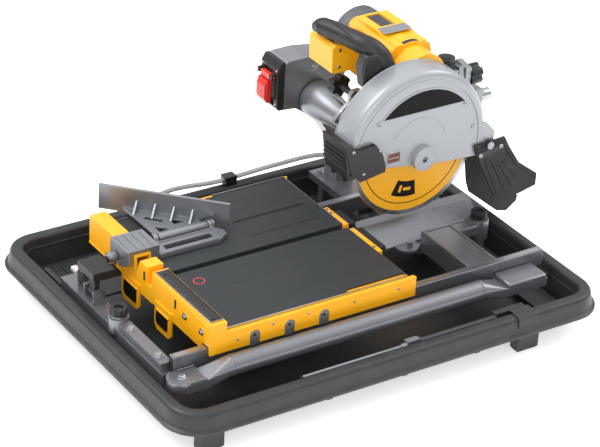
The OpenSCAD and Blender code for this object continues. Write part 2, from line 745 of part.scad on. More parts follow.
module bevel_quadrant() {
    color([0.55, 0.56, 0.58]) difference() {
        union() {
            xz_plate(326, 337.5, sector_pts(blade_x, bevel_z, 205, 245, 97, 153, 24));
            span([-46, 290, 352], [-14, 327, 384]);
        }
        xz_plate(325, 338.5, sector_pts(blade_x, bevel_z, quad_r - 5.3, quad_r + 5.3, 98, 150, 24));
        bar_x(-47, -13, motor_y, motor_z, 44);
        translate([-30, 308, 370]) cylinder(r = 5.05, h = 20);
    }
}
module depth_knob() {
    color([0.12, 0.12, 0.13]) {
        translate([-30, 308, 371]) cylinder(r = 5, h = 14);
        translate([-30, 308, 384.5]) cylinder(r = 16, h = 22);
    }
}
module spindle() {
    color([0.65, 0.66, 0.68]) {
        bar_x(-52, 36, blade_y, blade_z, 8);
        bar_x(-40, -24, blade_y, blade_z, 30);
        bar_x(7, blade_x - blade_t / 2, blade_y, blade_z, 24);
        bar_x(blade_x + blade_t / 2, 24, blade_y, blade_z, 24);
        translate([24, blade_y, blade_z]) rotate([0, 90, 0]) cylinder(r = 14, h = 9, $fn = 6);
    }
}
module blade_disc() {
    color([0.98, 0.74, 0.15]) difference() {
        union() {
            bar_x(blade_x - blade_t / 2, blade_x + blade_t / 2, blade_y, blade_z, blade_r - 1);
            difference() {
                bar_x(blade_x - 1.5, blade_x + 1.5, blade_y, blade_z, blade_r);
                bar_x(blade_x - 2, blade_x + 2, blade_y, blade_z, blade_r - 7);
            }
        }
        bar_x(blade_x - 3, blade_x + 3, blade_y, blade_z, 8);
    }
}
// The guard is a turned bowl cut along its lower edge, with ears for the flaps
guard_cut = [[30, 276], [139, 262], [240, 246], [310, 241], [366, 238], [400, 100], [0, 100], [0, 276]];
module guard_shell() {
    color([0.66, 0.67, 0.69]) {
        difference() {
            translate([0, guard_y, guard_z]) rotate([0, 90, 0]) rotate_extrude()
                polygon(concat([[0, 45]], arc_pts(guard_r - 14, 31, 14, 90, 0, 8), [[guard_r, -7],
                    [guard_r - 3, -7]], arc_pts(guard_r - 14, 31, 11, 0, 90, 8), [[0, 42]]));
            yz_plate(-20, 60, guard_cut);
        }
        difference() {
            bar_x(44, 55, 215, 265, 23);
            yz_plate(40, 60, [[180, 248], [250, 240], [250, 200], [180, 200]]);
            bar_x(41, 52, 215, 265, 19);
        }
        // back plate
        difference() {
            bar_x(-8, -5, guard_y, guard_z, guard_r - 3 + eps);
            yz_plate(-20, 60, guard_cut);
            bar_x(-9, -4, blade_y, blade_z, 17);
        }
        // ears with the flap pin
        for (x = [-8, 42]) yz_plate(x, x + 3, [[318, 241], [341, 302], [352, 302], [372, 280], [370, 252],
            [358, 246]]);
        bar_x(-17, 55, flap_pin_y, flap_pin_z, 4);
        bar_x(54, 56, flap_pin_y, flap_pin_z, 7);
    }
    color([0.2, 0.2, 0.21]) intersection() {
        bar_x(45, 46, 212, 283, 116);
        span([40, 100, 356], [50, 330, 420]);
    }
    color([0.45, 0.28, 0.2]) yz_plate(45, 45.8, [[139, 268], [168, 264], [168, 290], [139, 294]]);
}
module handle() {
    color([0.16, 0.16, 0.17]) {
        translate([-146, 116, 461]) rotate([0, 90, 14]) rotate_extrude()
            polygon(concat(arc_pts(0, 0, grip_r, -90, 0, 8), [[grip_r, 122], [0, 122]]));
        // leg down to the guard
        yz_plate(-45, -9, [[112, 452], [120, 472], [138, 478], [162, 476], [180, 460], [190, 430], [190, 384],
            [118, 384], [112, 400]]);
        span([-45, 150, 372], [-9, 196.5, 385]);
        span([-45, 185, 384], [-9, 199, 400]);
        span([-160, 108, 440], [-142, 126, 452]);
    }
}
module nozzle_block() {
    color([0.12, 0.12, 0.13]) {
        for (x = [[46, 56], [-18, -8]]) yz_plate(x[0], x[1], [[44, 328], [70, 316], [108, 318], [122, 298],
            [130, 274], [130, 262], [78, 254], [58, 274]]);
        yz_plate(-17, 55, [[43, 330], [60, 326], [56.5, 300], [56.5, 270.6], [67, 270.6], [67, 262],
            [54, 262], [50, 276]]);
        for (x = [-2, 34]) translate([x, 61, 252]) cylinder(r = 4.5, h = 11);
    }
}
flap_near = [[326, 262], [392, 266], [404, 244], [430, 205], [474, 172], [474, 148], [440, 140], [394, 134],
    [380, 146], [330, 246]];
flap_far = [[346, 268], [378, 268], [392, 240], [440, 150], [486, 92], [484, 82], [462, 66], [440, 72],
    [372, 128], [364, 150], [350, 240]];
module splash_flaps() {
    color([0.15, 0.16, 0.16]) difference() {
        union() {
            yz_plate(47, 51, flap_near);
            bar_x(46.5, 53, flap_pin_y, flap_pin_z, 9);
            yz_plate(-15, -11, flap_far);
            bar_x(-16, -9, flap_pin_y, flap_pin_z, 9);
        }
        bar_x(-20, 60, flap_pin_y, flap_pin_z, 4.1);
    }
}

water_pan();
foot_pads();
drain_plug();
tray_rod();
rod_sleeve();
front_crossmember();
rear_crossmember();
right_rail();
left_rail();
center_beam();
frame_posts();
post_caps();
side_tube();
tube_shoes();
column_foot();
column();
switch_box();
switch_paddle();
lock_bracket();
rail_lock_lever();
water_pump();
hose_clip();
hose_barb();
water_hose();
pivot_shaft();
cart_body();
table_mats();
table_trim();
fence_strips();
slot_inserts();
tab_plates();
rear_bumper();
roller_axles();
roller_1();
roller_2();
roller_3();
roller_4();
guide_clamp();
guide_knob();
guide_rod();
angle_plate();
plunge_arm();
plunge_lock_knob();
bevel_lock_knob();
bevel_stop_pin();
motor_housing();
motor_end_cap();
front_cover();
motor_rotor();
field_ring();
belt_housing();
drive_belt();
bevel_quadrant();
depth_knob();
spindle();
blade_disc();
guard_shell();
handle();
nozzle_block();
splash_flaps();
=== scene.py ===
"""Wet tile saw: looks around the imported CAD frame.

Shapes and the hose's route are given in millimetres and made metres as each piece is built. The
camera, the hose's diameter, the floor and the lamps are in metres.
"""
import math

import bmesh
import bpy
from mathutils import Matrix, Vector


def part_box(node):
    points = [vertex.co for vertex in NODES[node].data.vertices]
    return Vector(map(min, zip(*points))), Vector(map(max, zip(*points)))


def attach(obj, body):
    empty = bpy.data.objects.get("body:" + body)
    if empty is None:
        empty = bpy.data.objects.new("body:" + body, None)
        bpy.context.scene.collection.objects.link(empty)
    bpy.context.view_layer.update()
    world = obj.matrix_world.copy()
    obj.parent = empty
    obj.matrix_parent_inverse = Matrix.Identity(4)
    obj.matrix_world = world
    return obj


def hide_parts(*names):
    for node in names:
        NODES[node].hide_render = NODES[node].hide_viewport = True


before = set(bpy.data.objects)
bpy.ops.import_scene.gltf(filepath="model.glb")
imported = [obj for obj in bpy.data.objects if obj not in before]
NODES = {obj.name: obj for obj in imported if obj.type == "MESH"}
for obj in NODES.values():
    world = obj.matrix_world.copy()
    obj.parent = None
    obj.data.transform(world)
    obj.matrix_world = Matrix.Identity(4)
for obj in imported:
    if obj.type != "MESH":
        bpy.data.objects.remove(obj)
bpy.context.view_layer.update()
scene = bpy.context.scene
MM = 0.001


# ---------------------------------------------------------------- camera
def add_camera():
    """The camera, with angles in radians, its distance in metres and its focal length in pixels."""
    azimuth, elevation, roll = 0.9753776, 0.512996, 0.0554076
    distance, focal_px, image_w_px, sensor_mm = 4.42353, 2458.99, 600, 36
    target = Vector((-0.104613, 0.066495, 0.095392))
    back = Vector((math.sin(azimuth) * math.cos(elevation), -math.cos(azimuth) * math.cos(elevation),
                   math.sin(elevation)))
    right = Vector((math.cos(azimuth), math.sin(azimuth), 0))
    up = back.cross(right)
    right, up = (right * math.cos(roll) + up * math.sin(roll),
                 up * math.cos(roll) - right * math.sin(roll))
    data = bpy.data.cameras.new("camera")
    data.sensor_width = sensor_mm
    data.lens = focal_px * sensor_mm / image_w_px
    data.clip_start, data.clip_end = 0.1, 50
    cam = bpy.data.objects.new("camera", data)
    cam.matrix_world = Matrix.Translation(target + back * distance) @ Matrix(
        (right, up, back)).transposed().to_4x4()
    scene.collection.objects.link(cam)
    scene.camera = cam


add_camera()


# ---------------------------------------------------------------- hose
HOSE_ROUTE = [(-262, -175, 74), (-263, -172, 92), (-268, -160, 106), (-278, -138, 114), (-290, -110, 113),
              (-304, -78, 106), (-314, -44, 98), (-318, -10, 92), (-318, 20, 90), (-318, 46, 90),
              (-318, 72, 91), (-317, 100, 93), (-314, 128, 96), (-310, 156, 99), (-306, 184, 102),
              (-302, 212, 104), (-295, 238, 104), (-278, 249, 104)]
HOSE_DIAMETER = 0.009


def smooth_route(route, steps=6):
    """A smooth curve through the points, as a run of close points."""

    def along(i):
        return (route[min(i + 1, len(route) - 1)] - route[max(i - 1, 0)]).normalized()

    out = []
    for i, (a, d) in enumerate(zip(route, route[1:])):
        reach = (d - a).length / 3
        b, c = a + along(i) * reach, d - along(i + 1) * reach
        for k in range(steps):
            t = k / steps
            out.append(a * (1 - t) ** 3 + b * 3 * t * (1 - t) ** 2 + c * 3 * t * t * (1 - t) + d * t ** 3)
    return out + [route[-1]]


def add_hose():
    """The clear water hose on one smooth curve from the pump to the barb in the column."""
    line = smooth_route([Vector(p) * MM for p in HOSE_ROUTE])
    data = bpy.data.curves.new("clear_hose", "CURVE")
    data.dimensions = "3D"
    data.bevel_depth = HOSE_DIAMETER / 2
    data.bevel_resolution = 5
    data.use_fill_caps = True
    sp = data.splines.new("POLY")
    sp.points.add(len(line) - 1)
    for q, v in zip(sp.points, line):
        q.co = (*v, 1)
    sp.use_smooth = True
    former = bpy.data.objects.new("hose_former", data)
    mesh = bpy.data.meshes.new_from_object(former)
    bpy.data.objects.remove(former)
    mesh.shade_smooth()
    ob = bpy.data.objects.new("clear_hose", mesh)
    scene.collection.objects.link(ob)
    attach(ob, "frame")
    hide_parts("water_hose")
    return ob


hose = add_hose()


# ---------------------------------------------------------------- material kit
def lin(rgb):
    """A screen colour of 0 to 255 as linear light."""

    def one(c):
        c /= 255
        return c / 12.92 if c <= 0.04045 else ((c + 0.055) / 1.055) ** 2.4

    return tuple(one(c) for c in rgb) + (1.0,)


class Net:
    """A material's node tree, built a call at a time."""

    def __init__(self, name):
        self.mat = bpy.data.materials.new(name)
        self.mat.use_nodes = True
        self.tree = self.mat.node_tree
        self.tree.nodes.clear()
        out = self.add("ShaderNodeOutputMaterial")
        self.bsdf = self.add("ShaderNodeBsdfPrincipled")
        self.feed(self.bsdf.outputs[0], out.inputs[0])
        self.pos = self.add("ShaderNodeTexCoord").outputs["Object"]

    def add(self, kind, **props):
        node = self.tree.nodes.new(kind)
        for key, value in props.items():
            setattr(node, key, value)
        return node

    def feed(self, value, socket):
        """Links a socket to another one, or sets it to a plain value."""
        if isinstance(value, bpy.types.NodeSocket):
            self.tree.links.new(value, socket)
        else:
            socket.default_value = value

    def set(self, node, **values):
        """Feeds a node's inputs by name, with _ for a space."""
        for key, value in values.items():
            self.feed(value, node.inputs[key.replace("_", " ")])

    def noise(self, scale, detail=3.0, rough=0.55, stretch=None):
        node = self.add("ShaderNodeTexNoise")
        place = self.pos
        if stretch:
            mapping = self.add("ShaderNodeMapping")
            self.set(mapping, Vector=place, Scale=stretch)
            place = mapping.outputs[0]
        self.set(node, Vector=place, Scale=scale, Detail=detail, Roughness=rough)
        return node.outputs[0]

    def remap(self, value, from_lo, from_hi, to_lo, to_hi):
        node = self.add("ShaderNodeMapRange")
        self.set(node, Value=value, From_Min=from_lo, From_Max=from_hi, To_Min=to_lo, To_Max=to_hi)
        return node.outputs[0]

    def math(self, op, a, b, clamp=False):
        node = self.add("ShaderNodeMath", operation=op, use_clamp=clamp)
        self.feed(a, node.inputs[0])
        self.feed(b, node.inputs[1])
        return node.outputs[0]

    def mix(self, share, a, b):
        """Colour b over colour a; the colour sockets of this node share their names, so they go by number."""
        node = self.add("ShaderNodeMix", data_type="RGBA")
        for value, number in ((share, 0), (a, 6), (b, 7)):
            self.feed(value, node.inputs[number])
        return node.outputs[2]

    def bump(self, height, depth_mm):
        node = self.add("ShaderNodeBump")
        self.set(node, Height=height, Distance=depth_mm * MM, Strength=1.0)
        return node.outputs[0]

    def edge(self, radius_mm, gain):
        """0 on flats, up to 1 along edges."""
        rounded = self.add("ShaderNodeBevel", samples=4)
        self.set(rounded, Radius=radius_mm * MM)
        plain = self.add("ShaderNodeNewGeometry")
        dot = self.add("ShaderNodeVectorMath", operation="DOT_PRODUCT")
        self.feed(rounded.outputs[0], dot.inputs[0])
        self.feed(plain.outputs["Normal"], dot.inputs[1])
        return self.math("MULTIPLY", self.math("SUBTRACT", 1.0, dot.outputs["Value"]), gain, clamp=True)


EDGE_MM = 1.0
EDGE_GAIN = 5.0
ROUGH_SPREAD = 0.07


def surface(name, base, rough, metal=0.0, coat=0.0, mottle=0.06, patch=9.0, grain=900.0, depth=0.05,
            wear=None, dust=None, stretch=None, spec=0.5):
    """Painted, cast, moulded or machined skin: colour patches, fine bump, edge wear and dust in one.

    wear and dust are a colour and a strength; depth is the bump's height in millimetres.
    """
    n = Net(name)
    red_green_blue = lin(base)[:3]
    dark = tuple(c * (1 - mottle) for c in red_green_blue) + (1,)
    light = tuple(min(1, c * (1 + mottle)) for c in red_green_blue) + (1,)
    broad = n.noise(patch, 4, 0.6)
    fine = n.noise(grain, 2, 0.5, stretch)
    colour = n.mix(n.remap(broad, 0.3, 0.7, 0, 1), dark, light)
    if dust:
        speck = n.math("MULTIPLY", n.remap(n.noise(patch * 5, 6, 0.7), 0.5, 0.75, 0, 1), dust[1])
        colour = n.mix(speck, colour, lin(dust[0]))
    blend = n.math("ADD", n.math("MULTIPLY", broad, 0.6), n.math("MULTIPLY", fine, 0.4))
    roughness = n.remap(blend, 0.3, 0.7, max(0.02, rough - ROUGH_SPREAD), rough + ROUGH_SPREAD)
    if wear:
        chips = n.remap(n.noise(60, 4, 0.7), 0.42, 0.62, 0, wear[1])
        colour = n.mix(n.math("MULTIPLY", n.edge(EDGE_MM, EDGE_GAIN), chips), colour, lin(wear[0]))
    n.set(n.bsdf, Base_Color=colour, Roughness=roughness, Metallic=metal, Coat_Weight=coat,
          Coat_Roughness=0.25, Specular_IOR_Level=spec, Normal=n.bump(fine, depth))
    return n.mat


YELLOW = surface("yellow_paint", (252, 178, 16), 0.36, coat=0.25, mottle=0.04, grain=1500, depth=0.02,
                 wear=((255, 214, 110), 0.5))
YELLOW_PLASTIC = surface("yellow_plastic", (252, 180, 20), 0.34, coat=0.15, mottle=0.03, grain=2600,
                         depth=0.015, wear=((255, 216, 120), 0.35))
CHARCOAL = surface("pan_plastic", (38, 40, 42), 0.42, mottle=0.10, patch=7, grain=1700, depth=0.035,
                   wear=((98, 99, 102), 0.6), dust=((92, 93, 96), 0.18))
BLACK = surface("black_plastic", (30, 30, 32), 0.42, mottle=0.10, grain=2200, depth=0.02,
                wear=((86, 87, 90), 0.5))
RUBBER = surface("rubber", (36, 37, 39), 0.62, mottle=0.12, grain=1400, depth=0.04,
                 dust=((86, 87, 88), 0.25), spec=0.35)
MAT = surface("mat_rubber", (47, 51, 53), 0.5, mottle=0.04, grain=1600, depth=0.025,
              dust=((78, 80, 81), 0.06), spec=0.3)
FRAME_GREY = surface("frame_paint", (128, 130, 135), 0.3, metal=0.7, mottle=0.05, grain=1300, depth=0.03,
                     wear=((186, 188, 192), 0.6))
CAST = surface("cast_aluminium", (144, 147, 152), 0.33, metal=0.7, mottle=0.05, grain=1100, depth=0.045,
               wear=((196, 198, 202), 0.6))
STEEL = surface("machined_steel", (176, 178, 182), 0.26, metal=1.0, mottle=0.04, grain=500, depth=0.02,
                stretch=(1, 12, 1))
GUARD_GREY = surface("guard_grey", (158, 161, 166), 0.33, metal=0.25, coat=0.2, mottle=0.03, grain=2000,
                     depth=0.015, wear=((206, 208, 212), 0.5))
RED = surface("red_plastic", (214, 44, 36), 0.34, coat=0.2, mottle=0.05, grain=2400, depth=0.015,
              wear=((238, 110, 96), 0.4))
IRON = surface("core_iron", (92, 80, 74), 0.5, metal=0.7, grain=900, depth=0.05)
WHITE = surface("white_paint", (214, 215, 214), 0.45, mottle=0.03, grain=1500, depth=0.02)
BADGE = surface("badge_black", (20, 19, 20), 0.6, mottle=0.05, grain=2500, depth=0.01, spec=0.15)
BROWN = surface("plate_brown", (104, 56, 38), 0.4, mottle=0.15, patch=60, grain=2500, depth=0.01)


def clear_plastic(name, tint, rough):
    """Clear soft tube: mostly see-through, with a milky wall."""
    n = Net(name)
    n.set(n.bsdf, Base_Color=lin(tint), Roughness=rough, Transmission_Weight=0.4, IOR=1.42,
          Normal=n.bump(n.noise(300), 0.02))
    return n.mat


hose.data.materials.append(clear_plastic("clear_hose", (176, 181, 185), 0.2))


def paper(name, tint, glow):
    """Pale backdrop that holds only a light shadow."""
    n = Net(name)
    n.set(n.bsdf, Base_Color=lin(tint), Roughness=0.9, Emission_Color=(1, 1, 1, 1), Emission_Strength=glow)
    return n.mat


WELD_MM = 0.02
CAD_EDGE_ANGLE = 38
PIECE_EDGE_ANGLE = 40
SMOOTH_ANGLE = 35


def soften(ob, width, angle):
    """Rounds the edges sharper than an angle in degrees, by a width in millimetres."""
    bevel = ob.modifiers.new("bevel", "BEVEL")
    bevel.width = width * MM
    bevel.segments = 2
    bevel.limit_method = "ANGLE"
    bevel.angle_limit = math.radians(angle)


def dress(node, mat, bevel):
    """Gives a CAD node its material and, where asked, rounded edges."""
    ob = NODES[node]
    for slot in ob.material_slots:
        slot.material = mat
    if bevel:
        weld = ob.modifiers.new("weld", "WELD")
        weld.merge_threshold = WELD_MM * MM
        soften(ob, bevel, CAD_EDGE_ANGLE)


LOOKS = {
    "water_pan": (CHARCOAL, 1.2), "foot_pads": (RUBBER, 0.6), "drain_plug": (RUBBER, 0.8),
    "tray_rod": (CAST, 0.6), "rod_sleeve": (CHARCOAL, 1.2), "front_crossmember": (FRAME_GREY, 1.2),
    "rear_crossmember": (FRAME_GREY, 1.5), "right_rail": (FRAME_GREY, 1.0), "left_rail": (FRAME_GREY, 1.0),
    "center_beam": (FRAME_GREY, 0.6), "frame_posts": (FRAME_GREY, 0.8), "post_caps": (BLACK, 0.8),
    "side_tube": (FRAME_GREY, 0.0), "tube_shoes": (FRAME_GREY, 1.5), "column_foot": (FRAME_GREY, 1.0),
    "column": (CAST, 2.5), "switch_box": (BLACK, 1.5), "switch_paddle": (RED, 1.0),
    "lock_bracket": (FRAME_GREY, 0.6), "rail_lock_lever": (BLACK, 2.5), "water_pump": (BLACK, 1.0),
    "hose_clip": (BLACK, 1.0), "hose_barb": (BLACK, 0.0), "pivot_shaft": (STEEL, 0.4),
    "cart_body": (YELLOW, 0.8), "table_mats": (MAT, 0.4), "table_trim": (STEEL, 0.3),
    "fence_strips": (BLACK, 0.2), "slot_inserts": (CAST, 0.3), "tab_plates": (BADGE, 0.2),
    "rear_bumper": (RUBBER, 0.8), "roller_axles": (STEEL, 0.2), "roller_1": (STEEL, 0.3),
    "roller_2": (STEEL, 0.3), "roller_3": (STEEL, 0.3), "roller_4": (STEEL, 0.3),
    "guide_clamp": (CAST, 2.5), "guide_knob": (CAST, 0.6), "guide_rod": (STEEL, 0.0),
    "angle_plate": (CAST, 0.6), "plunge_arm": (CAST, 1.5), "plunge_lock_knob": (BLACK, 1.0),
    "bevel_lock_knob": (BLACK, 1.0), "bevel_stop_pin": (STEEL, 0.5), "motor_housing": (YELLOW_PLASTIC, 4.0),
    "motor_end_cap": (FRAME_GREY, 0.8), "front_cover": (YELLOW_PLASTIC, 5.0), "motor_rotor": (IRON, 0.0),
    "field_ring": (IRON, 0.0), "belt_housing": (YELLOW_PLASTIC, 3.0), "drive_belt": (RUBBER, 0.0),
    "bevel_quadrant": (CAST, 0.8), "depth_knob": (BLACK, 1.0), "spindle": (STEEL, 0.3),
    "blade_disc": (YELLOW, 0.0), "guard_shell": (GUARD_GREY, 0.6), "handle": (BLACK, 2.0),
    "nozzle_block": (BLACK, 1.0), "splash_flaps": (RUBBER, 0.4),
}
for node_name, (look, width) in LOOKS.items():
    dress(node_name, look, width)


# ---------------------------------------------------------------- piece kit
def place(name, data, mat, body):
    """Puts a mesh or curve in the scene with its finish and the body it moves with."""
    ob = bpy.data.objects.new(name, data)
    data.materials.append(mat)
    scene.collection.objects.link(ob)
    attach(ob, body)
    return ob


def solid(name, bm, mat, body, bevel=0.0):
    """A mesh piece from millimetre geometry, smooth on curves and crisp on edges."""
    bmesh.ops.recalc_face_normals(bm, faces=bm.faces)
    for v in bm.verts:
        v.co *= MM
    mesh = bpy.data.meshes.new(name)
    bm.to_mesh(mesh)
    bm.free()
    mesh.shade_smooth()
    mesh.set_sharp_from_angle(angle=math.radians(SMOOTH_ANGLE))
    ob = place(name, mesh, mat, body)
    if bevel:
        soften(ob, bevel, PIECE_EDGE_ANGLE)
    return ob


AXES = {"x": (1, 2, 0), "y": (0, 2, 1), "z": (0, 1, 2)}


def at_axis(axis, u, v, w):
    """A point from its two places across an axis and its place along it."""
    i, j, k = AXES[axis]
    co = [0.0, 0.0, 0.0]
    co[i], co[j], co[k] = u, v, w
    return co


def skin(bm, rings, closed=False):
    """Faces between rings of equally many points; a run that isn't closed is capped at both ends."""
    for p, q in zip(rings, rings[1:] + rings[:1] if closed else rings[1:]):
        for m in range(len(p)):
            after = (m + 1) % len(p)
            bm.faces.new((p[m], p[after], q[after], q[m]))
    if not closed:
        bm.faces.new(rings[0])
        bm.faces.new(rings[-1][::-1])


def prism_into(bm, pts, axis, lo, hi):
    skin(bm, [[bm.verts.new(at_axis(axis, u, v, w)) for u, v in pts] for w in (lo, hi)])


def prism(name, outlines, axis, lo, hi, mat, body, bevel=0.0):
    """One or more flat outlines, thickened along an axis."""
    bm = bmesh.new()
    for pts in outlines:
        prism_into(bm, pts, axis, lo, hi)
    solid(name, bm, mat, body, bevel)


def boxes(name, spans, mat, body, bevel=0.0):
    """Blocks, each given by its lowest and highest corner."""
    bm = bmesh.new()
    for a, b in spans:
        prism_into(bm, [(a[0], a[1]), (b[0], a[1]), (b[0], b[1]), (a[0], b[1])], "z", a[2], b[2])
    solid(name, bm, mat, body, bevel)


def arc(cx, cy, r, a0, a1, n=24):
    """Points along an arc, from one angle to another in degrees."""
    angles = [math.radians(a0 + (a1 - a0) * i / n) for i in range(n + 1)]
    return [(cx + r * math.cos(a), cy + r * math.sin(a)) for a in angles]


def sector(cx, cy, r0, r1, a0, a1, n=24):
    """Outline of a part of a flat ring."""
    return arc(cx, cy, r1, a0, a1, n) + arc(cx, cy, r0, a1, a0, n)


def circle_into(bm, axis, at, r, along, sides):
    """A ring of points about a line through a place; along is where it lies on the axis."""
    i, j, _ = AXES[axis]
    angles = [2 * math.pi * q / sides for q in range(sides)]
    return [bm.verts.new(at_axis(axis, at[i] + r * math.cos(a), at[j] + r * math.sin(a), along))
            for a in angles]


def lathe_into(bm, profile, axis, at, sides):
    """Turns a profile of radius and height about a line along an axis through a place."""
    start = at[AXES[axis][2]]
    skin(bm, [circle_into(bm, axis, at, r, start + h, sides) for r, h in profile])


def lathe(name, profile, axis, places, mat, body, sides=32):
    """One turned shape at each of several places."""
    bm = bmesh.new()
    for at in places:
        lathe_into(bm, profile, axis, at, sides)
    solid(name, bm, mat, body)


def ring_band(name, axis, at, r0, r1, lo, hi, mat, body, sides=64):
    """A closed ring of square section about an axis, between two places on it."""
    bm = bmesh.new()
    corners = ((r0, lo), (r1, lo), (r1, hi), (r0, hi))
    skin(bm, [circle_into(bm, axis, at, r, h, sides) for r, h in corners], closed=True)
    solid(name, bm, mat, body)


def strand(name, pts, radius, mat, body, closed=False):
    """A round bead along points."""
    data = bpy.data.curves.new(name, "CURVE")
    data.dimensions = "3D"
    data.bevel_depth = radius * MM
    data.bevel_resolution = 3
    data.use_fill_caps = True
    line = data.splines.new("POLY")
    line.points.add(len(pts) - 1)
    for point, v in zip(line.points, pts):
        point.co = (v[0] * MM, v[1] * MM, v[2] * MM, 1)
    line.use_cyclic_u = closed
    line.use_smooth = True
    place(name, data, mat, body)


def screws(name, axis, sign, places, r, mat, body, height=2.2):
    """Pan-head screws with a cross slot, standing out along an axis."""
    head = [(r, 0), (r, sign * height * 0.35), (r * 0.8, sign * height * 0.85), (r * 0.45, sign * height)]
    lathe(name, head, axis, places, mat, body, 20)
    i, j, k = AXES[axis]
    arms = []
    for at in places:
        for w, h in ((r * 0.55, r * 0.12), (r * 0.12, r * 0.55)):
            a, b = list(at), list(at)
            a[i], b[i] = at[i] - w, at[i] + w
            a[j], b[j] = at[j] - h, at[j] + h
            a[k], b[k] = sorted((at[k] + sign * height * 0.5, at[k] + sign * (height + 0.15)))
            arms.append((a, b))
    boxes(name + "_slots", arms, BLACK, body)


def hex_bolts(name, axis, sign, places, r, mat, body, height=5.0):
    """Hexagon heads, each on a round washer, standing out along an axis."""
    bm = bmesh.new()
    washer_t = 1.2
    flat_h, top_h = height - 1.5 * washer_t, height - washer_t
    for at in places:
        lathe_into(bm, [(r * 1.45, 0), (r * 1.45, sign * washer_t)], axis, at, 24)
        top = list(at)
        top[AXES[axis][2]] += sign * washer_t
        lathe_into(bm, [(r, 0), (r, sign * flat_h), (r * 0.85, sign * top_h)], axis, top, 6)
    solid(name, bm, mat, body, 0.3)


# ---------------------------------------------------------------- places read from the frame
def corners(node):
    """Lowest and highest corner of a CAD node at rest, in millimetres to one decimal."""
    return [tuple(round(v / MM, 1) for v in corner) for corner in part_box(node)]


def middle(node):
    """Middle of a CAD node's box at rest, to half a millimetre."""
    return tuple(round((a + b) / MM) / 2 for a, b in zip(*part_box(node)))


GUARD_R = 148
PIVOT_R = 12
GUARD_LO, GUARD_HI = corners("guard_shell")
GUARD_AT = (GUARD_LO[1] + GUARD_R, GUARD_HI[2] - GUARD_R)
GUARD_FACE = GUARD_HI[0] - 11
BOSS_AT = (215, 265)
BLADE_AT = middle("blade_disc")
MOTOR_LO, MOTOR_HI = corners("motor_housing")
MOTOR_AT = middle("motor_end_cap")[1:]
CAP_END = corners("motor_end_cap")[0][0]
PIVOT_AT = (0, corners("pivot_shaft")[1][1] - PIVOT_R, corners("pivot_shaft")[0][2] + PIVOT_R)
FENCE_Y = corners("fence_strips")[0][1] - 5
MAT_TOP = corners("table_mats")[1][2]


# ---------------------------------------------------------------- guard and blade
def guard_details():
    gy, gz = GUARD_AT
    badge = (gy + 7, gz)
    for name, outline, lo, hi, mat, bevel in (
            ("guard_face_bead", sector(gy, gz, 129, 132.5, -6, 182, 48), -0.4, 1.4, GUARD_GREY, 0.5),
            ("guard_inner_step", sector(gy, gz, 60, 62, 20, 150, 32), -0.4, 0.7, GUARD_GREY, 0.3),
            ("badge_border", arc(*badge, 115.6, 39.4, 140.6, 40), 0.9, 1.5, GUARD_GREY, 0.2),
            ("badge_face", arc(*badge, 113, 41.2, 138.8, 40), 1.4, 2.0, BADGE, 0.2)):
        prism(name, [outline], "x", GUARD_FACE + lo, GUARD_FACE + hi, mat, "head", bevel)
    boxes("plain_plate", [((GUARD_FACE + 0.7, 141, 270), (GUARD_FACE + 1.2, 166, 288))], BROWN, "head", 0.15)
    boxes("plain_plate_line", [((GUARD_FACE + 1.1, 143, 278.4), (GUARD_FACE + 1.35, 164, 279.2))],
          WHITE, "head")
    rivets = ((92, 292), (118, 352), (322, 300), (300, 352))
    screws("guard_screws", "x", 1, [(GUARD_FACE, *at) for at in rivets], 4.2, STEEL, "head", 2.6)
    hex_bolts("guard_boss_bolt", "x", 1, [(GUARD_FACE + 7, *BOSS_AT)], 7.5, STEEL, "head", 3.0)
    ring_band("guard_boss_ring", "x", (0, *BOSS_AT), 19.5, 21.5, GUARD_FACE + 9.6, GUARD_FACE + 10.4,
              GUARD_GREY, "head")
    rim = arc(gy, gz, GUARD_R - 0.4, 0, 178, 60)
    strand("guard_rim_bead", [(-6.5, y, z) for y, z in rim], 1.5, GUARD_GREY, "head")


def blade_details():
    x, y, z = BLADE_AT
    body = "spindle_body"
    ring_band("blade_rim", "x", (0, y, z), 119, 126.8, x - 1.65, x + 1.65, STEEL, body, 96)
    panel_angles = (-118, 2, 122)
    panels = [sector(y, z, 62, 92, a, a + 34, 10) for a in panel_angles]
    marks = [sector(y, z, 70, 84, a + 8, a + 12, 4) for a in panel_angles]
    marks += [sector(y, z, 74, 80, a + 15, a + 27, 4) for a in panel_angles]
    for side, lo, hi in (("right", x + 1.1, x + 1.45), ("left", x - 1.45, x - 1.1)):
        ring_band(f"blade_print_ring_{side}", "x", (0, y, z), 104, 105.6, lo, hi, BADGE, body, 96)
        prism(f"blade_print_panels_{side}", panels, "x", lo, hi, BADGE, body)
        prism(f"blade_print_marks_{side}", marks, "x", lo - 0.12, hi + 0.12, YELLOW, body)
    hex_bolts("spindle_washer", "x", 1, [(x + 17, y, z)], 7, STEEL, body, 2.6)


def nozzle_details():
    lo, hi = corners("nozzle_block")
    screw_places = ((116, 306), (84, 268), (60, 316))
    screws("nozzle_screws", "x", 1, [(hi[0], *at) for at in screw_places], 3.4, STEEL, "head", 2.2)
    boxes("nozzle_ribs", [((-12, lo[1] - 0.6, z), (50, lo[1] + 2.4, z + 2)) for z in (286, 294, 302, 310)],
          BLACK, "head", 0.6)
    strand("nozzle_hose_link", [(-2, 61, 262), (-2, 56, 268), (-2, 52, 276)], 2.4, RUBBER, "head")


guard_details()
blade_details()
nozzle_details()


